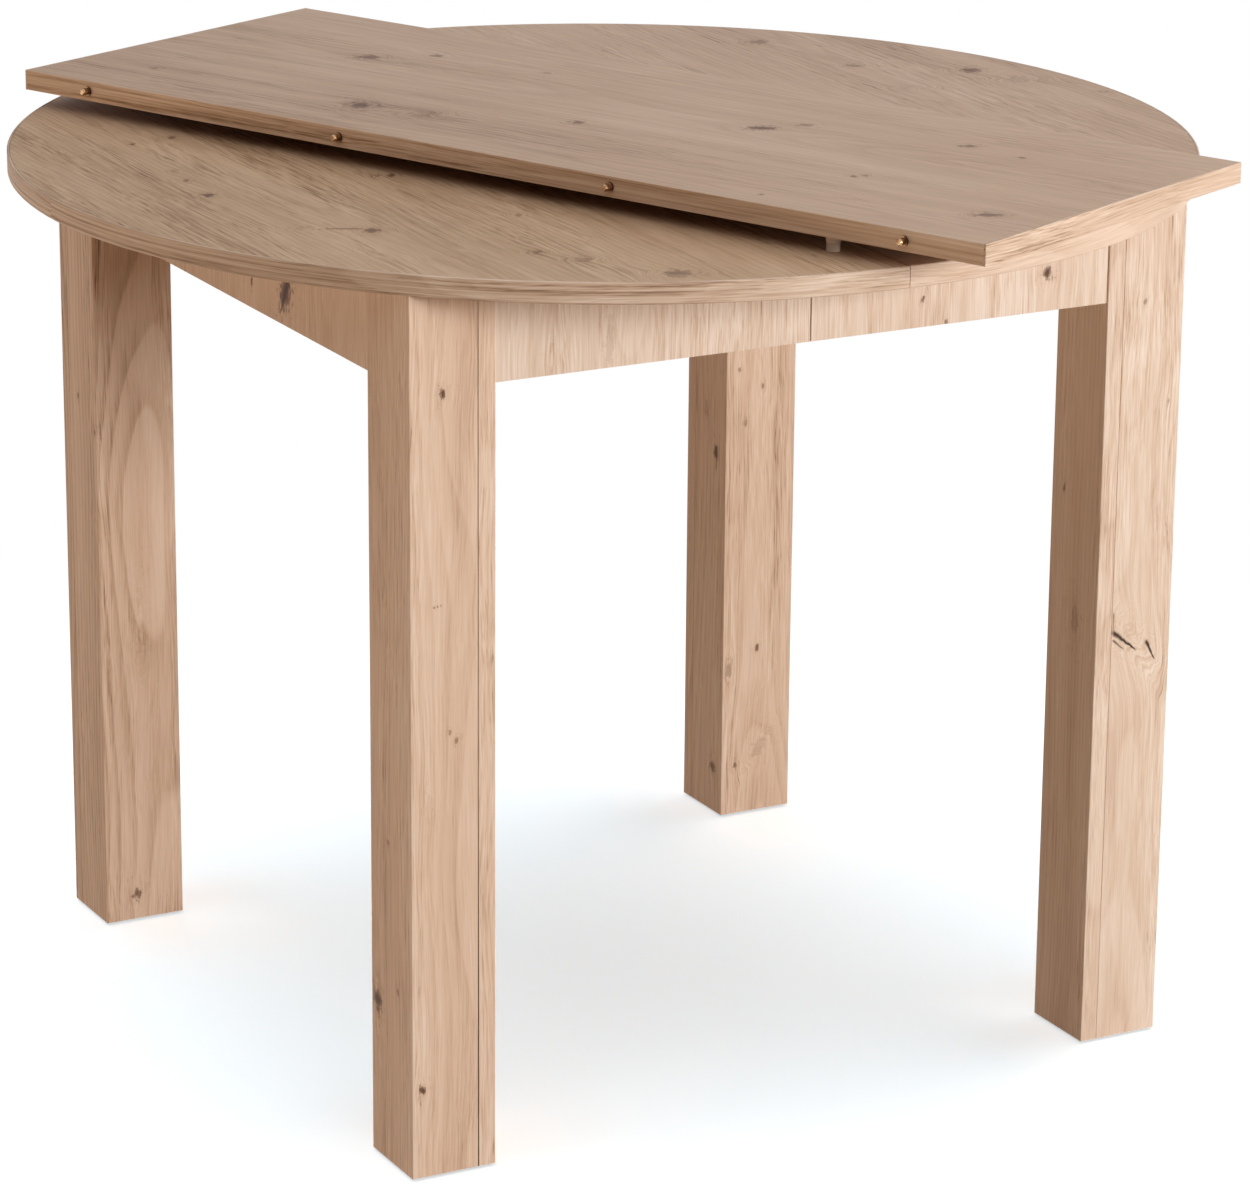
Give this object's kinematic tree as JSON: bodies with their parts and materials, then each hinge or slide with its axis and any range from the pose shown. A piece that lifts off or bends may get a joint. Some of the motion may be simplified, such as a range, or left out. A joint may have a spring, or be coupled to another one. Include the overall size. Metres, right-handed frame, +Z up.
{
  "type": "round extension dining table",
  "caption": "Round wood-grain dining table on square legs; its split top and frame slide apart on runners to take a loose leaf, which lies turned on the closed top.",
  "frame": {"origin": "on the floor under the middle of the whole outline, leaf included; the leaf overhangs the front, so the middle of the round top lies 38 mm behind it", "axes": "+Z up, +X the way the right half slides out, -Y towards the front, where the leaf overhangs"},
  "size_m": [1.0404, 1.1166, 0.807],
  "materials": {
    "oak_top": "matt wood-grain surface",
    "oak_edge": "matt wood-grain edge band",
    "oak_frame": "matt wood-grain surface",
    "raw_board": "raw chipboard",
    "beech": "waxed hardwood",
    "brass": "bright",
    "socket_plastic": "moulded",
    "peg_plastic": "moulded",
    "glide_plastic": "moulded",
    "packing_plastic": "moulded",
    "zinc_steel": "zinc plated",
    "screw_steel": "zinc plated",
    "knob_plastic": "moulded"
  },
  "bodies": {
    "left_half": {"back_left_half_apron": "oak_frame", "back_left_leg_cover": "oak_frame", "back_left_leg_shell": "oak_frame", "back_left_runner": "beech", "front_left_half_apron": "oak_frame", "front_left_leg_cover": "oak_frame", "front_left_leg_shell": "oak_frame", "front_left_runner": "beech", "left_cross_rail": "oak_frame", "left_frame_screws": "screw_steel", "left_half_top": "oak_top", "left_leg_angles": "zinc_steel", "left_leg_foot_blocks": "raw_board", "left_leg_glides": "glide_plastic", "left_leg_top_blocks": "raw_board", "left_runner_packing": "packing_plastic", "left_runner_screws": "screw_steel", "left_top_angles": "zinc_steel", "left_top_edge_band": "oak_edge", "left_top_pins": "brass", "lock_base_plate": "zinc_steel", "lock_base_screws": "screw_steel", "lock_pivot": "zinc_steel"},
    "right_half": {"back_right_half_apron": "oak_frame", "back_right_leg_cover": "oak_frame", "back_right_leg_shell": "oak_frame", "back_right_runner": "beech", "front_right_half_apron": "oak_frame", "front_right_leg_cover": "oak_frame", "front_right_leg_shell": "oak_frame", "front_right_runner": "beech", "lock_keeper_plate": "zinc_steel", "lock_keeper_screws": "screw_steel", "lock_keeper_stud": "zinc_steel", "right_cross_rail": "oak_frame", "right_frame_screws": "screw_steel", "right_half_top": "oak_top", "right_leg_angles": "zinc_steel", "right_leg_foot_blocks": "raw_board", "right_leg_glides": "glide_plastic", "right_leg_top_blocks": "raw_board", "right_runner_packing": "packing_plastic", "right_runner_screws": "screw_steel", "right_top_angles": "zinc_steel", "right_top_edge_band": "oak_edge", "right_top_sockets": "socket_plastic"},
    "runner_middles": {"front_middle_runner": "beech", "back_middle_runner": "beech"},
    "leaf": {"leaf_board": "oak_top", "leaf_end_bands": "oak_edge", "leaf_pins": "brass", "leaf_sockets": "socket_plastic", "leaf_pegs": "peg_plastic"},
    "lock_hook": {"lock_hook": "zinc_steel", "lock_knob": "knob_plastic"}
  },
  "joints": [
    {"name": "halves_slide", "type": "slide", "parent": "left_half", "child": "right_half", "axis": [1, 0, 0], "range_m": [0, 0.392]},
    {"name": "runner_middles_slide", "type": "slide", "parent": "left_half", "child": "runner_middles", "axis": [1, 0, 0], "range_m": [0, 0.196]},
    {"name": "leaf_lift", "type": "slide", "parent": "left_half", "child": "leaf", "axis": [0, 0, 1], "range_m": [0, 0.25]},
    {"name": "lock_swing", "type": "hinge", "parent": "left_half", "child": "lock_hook", "pos_m": [-0.046, 0.03835, 0.753], "axis": [0, 0, -1], "range_deg": [0, 55]}
  ],
  "couplings": [
    {"joint": "runner_middles_slide", "follows": "halves_slide", "ratio": 0.5}
  ]
}
